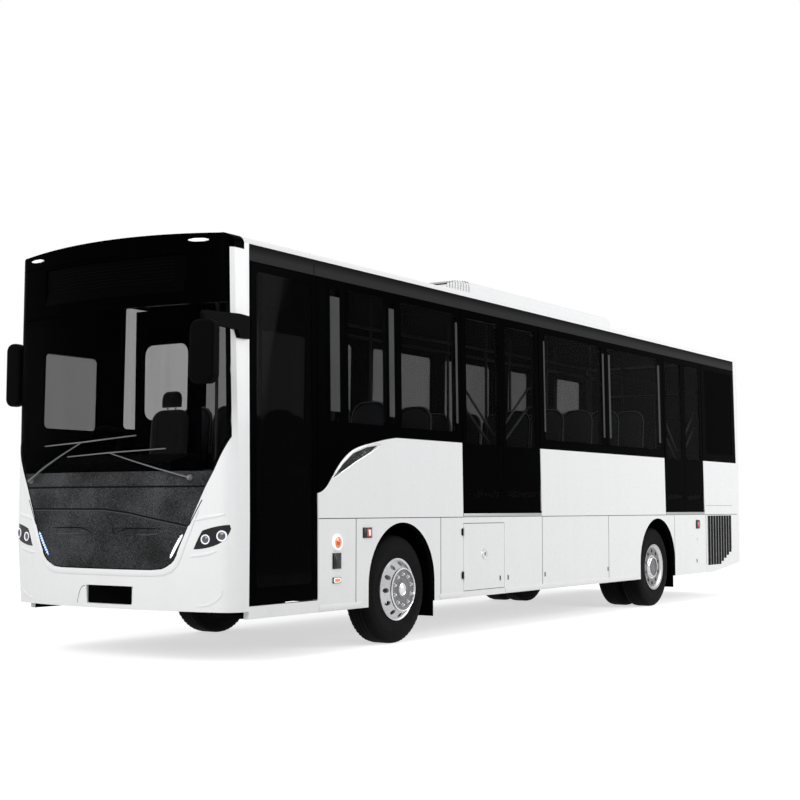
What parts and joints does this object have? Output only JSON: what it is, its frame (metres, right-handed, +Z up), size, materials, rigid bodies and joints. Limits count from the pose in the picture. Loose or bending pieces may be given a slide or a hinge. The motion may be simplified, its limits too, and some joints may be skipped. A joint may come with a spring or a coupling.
{
  "type": "city bus",
  "caption": "Single-deck high-floor city bus with steered front wheels, twin rear wheels, a kerb-side entry door, raised platform doors and a rear engine lid.",
  "frame": {"origin": "on the ground, at the middle of the vehicle's whole box", "axes": "+Z up, the nose faces -Y, +X is the kerb side with the passenger doors"},
  "size_m": [2.86, 12.145, 3.655],
  "materials": {
    "body_white": "gloss white body paint",
    "body_black": "gloss black paint",
    "cant_grey": "dark grey paint",
    "dark_glass": "tinted glass",
    "screen_glass": "windscreen glass",
    "grained_dark": "grained dark grey plastic",
    "black_plastic": "black moulded plastic",
    "lamp_clear": "clear lamp cover",
    "lamp_colour": "red and amber lamp plastic",
    "pod_white": "white moulded roof cover",
    "tyre_rubber": "black tyre rubber",
    "wheel_silver": "silver wheel paint",
    "chassis_black": "black chassis paint",
    "engine_grey": "cast engine block",
    "tank_grey": "aluminium tanks",
    "floor_grey": "ribbed floor covering",
    "trim_grey": "moulded inner trim",
    "seat_shell": "moulded seats",
    "driver_cloth": "driver's seat cloth",
    "rail_steel": "steel grab rails"
  },
  "bodies": {
    "body": {"chassis_rails": "chassis_black", "cross_members": "chassis_black", "floor_deck": "floor_grey", "roof_shell": "body_white", "cant_rails": "cant_grey", "roof_pod": "pod_white", "kerb_skirt": "body_white", "road_skirt": "body_white", "waist_panels": "body_white", "kerb_window_band": "body_black", "road_window_band": "body_black", "side_glass": "dark_glass", "front_mask": "body_white", "front_cap": "body_black", "display_panel": "body_black", "windscreen": "screen_glass", "scuttle_panel": "black_plastic", "grille_panel": "grained_dark", "headlamps": "lamp_clear", "rear_wall": "body_white", "rear_glass": "dark_glass", "rear_bumper": "body_white", "signal_lamps": "lamp_colour", "mirrors": "black_plastic", "wipers": "black_plastic", "wheel_housings": "black_plastic", "front_axle": "chassis_black", "rear_axle": "chassis_black", "engine": "engine_grey", "fuel_tanks": "tank_grey", "dashboard": "trim_grey", "driver_seat": "driver_cloth", "passenger_seats": "seat_shell", "grab_rails": "rail_steel", "driver_partition": "trim_grey"},
    "kerb_knuckle": {"kerb_knuckle": "chassis_black"},
    "road_knuckle": {"road_knuckle": "chassis_black"},
    "tie_rod": {"tie_rod": "chassis_black"},
    "front_kerb_wheel": {"front_kerb_tyre": "tyre_rubber", "front_kerb_rim": "wheel_silver"},
    "front_road_wheel": {"front_road_tyre": "tyre_rubber", "front_road_rim": "wheel_silver"},
    "rear_kerb_wheels": {"rear_kerb_tyres": "tyre_rubber", "rear_kerb_rims": "wheel_silver"},
    "rear_road_wheels": {"rear_road_tyres": "tyre_rubber", "rear_road_rims": "wheel_silver"},
    "front_door": {"front_door": "body_black"},
    "mid_door_front_leaf": {"mid_door_front_leaf": "body_black"},
    "mid_door_rear_leaf": {"mid_door_rear_leaf": "body_black"},
    "rear_door_front_leaf": {"rear_door_front_leaf": "body_black"},
    "rear_door_rear_leaf": {"rear_door_rear_leaf": "body_black"},
    "service_flap": {"service_flap": "body_white"},
    "engine_lid": {"engine_lid": "body_white"}
  },
  "joints": [
    {"name": "steer_kerb", "type": "hinge", "parent": "body", "child": "kerb_knuckle", "pos_m": [0.905, -3.1425, 0.5], "axis": [0, 0, 1], "range_deg": [-35, 35]},
    {"name": "steer_road", "type": "hinge", "parent": "body", "child": "road_knuckle", "pos_m": [-0.905, -3.1425, 0.5], "axis": [0, 0, 1], "range_deg": [-35, 35]},
    {"name": "tie_rod_end", "type": "hinge", "parent": "kerb_knuckle", "child": "tie_rod", "pos_m": [0.905, -2.9525, 0.35], "axis": [0, 0, 1], "range_deg": [-35, 35]},
    {"name": "front_kerb_roll", "type": "hinge", "parent": "kerb_knuckle", "child": "front_kerb_wheel", "pos_m": [1.05, -3.1425, 0.5], "axis": [1, 0, 0], "continuous": true},
    {"name": "front_road_roll", "type": "hinge", "parent": "road_knuckle", "child": "front_road_wheel", "pos_m": [-1.05, -3.1425, 0.5], "axis": [1, 0, 0], "continuous": true},
    {"name": "rear_kerb_roll", "type": "hinge", "parent": "body", "child": "rear_kerb_wheels", "pos_m": [0.9, 2.8575, 0.5], "axis": [1, 0, 0], "continuous": true},
    {"name": "rear_road_roll", "type": "hinge", "parent": "body", "child": "rear_road_wheels", "pos_m": [-0.9, 2.8575, 0.5], "axis": [1, 0, 0], "continuous": true},
    {"name": "front_door_hinge", "type": "hinge", "parent": "body", "child": "front_door", "pos_m": [1.228, -5.3545, 0.484], "axis": [0.0118, 0, -0.9999], "range_deg": [0, 85]},
    {"name": "mid_front_leaf_hinge", "type": "hinge", "parent": "body", "child": "mid_door_front_leaf", "pos_m": [1.22683, -2.0085, 1.239], "axis": [-0.0157, 0, 0.9999], "range_deg": [0, 90]},
    {"name": "mid_rear_leaf_hinge", "type": "hinge", "parent": "body", "child": "mid_door_rear_leaf", "pos_m": [1.22683, -0.3805, 1.239], "axis": [0.0157, 0, -0.9999], "range_deg": [0, 90]},
    {"name": "rear_front_leaf_hinge", "type": "hinge", "parent": "body", "child": "rear_door_front_leaf", "pos_m": [1.22683, 3.1555, 1.239], "axis": [-0.0157, 0, 0.9999], "range_deg": [0, 90]},
    {"name": "rear_rear_leaf_hinge", "type": "hinge", "parent": "body", "child": "rear_door_rear_leaf", "pos_m": [1.22683, 4.4695, 1.239], "axis": [0.0157, 0, -0.9999], "range_deg": [0, 90]},
    {"name": "service_flap_hinge", "type": "hinge", "parent": "body", "child": "service_flap", "pos_m": [1.259, -2.0335, 0.8], "axis": [0, 0, -1], "range_deg": [0, 110]},
    {"name": "engine_lid_hinge", "type": "hinge", "parent": "body", "child": "engine_lid", "pos_m": [0, 6.0635, 1.757], "axis": [1, 0, 0], "range_deg": [0, 70]}
  ],
  "couplings": [
    {"joint": "steer_road", "follows": "steer_kerb", "ratio": 1},
    {"joint": "tie_rod_end", "follows": "steer_kerb", "ratio": -1}
  ]
}
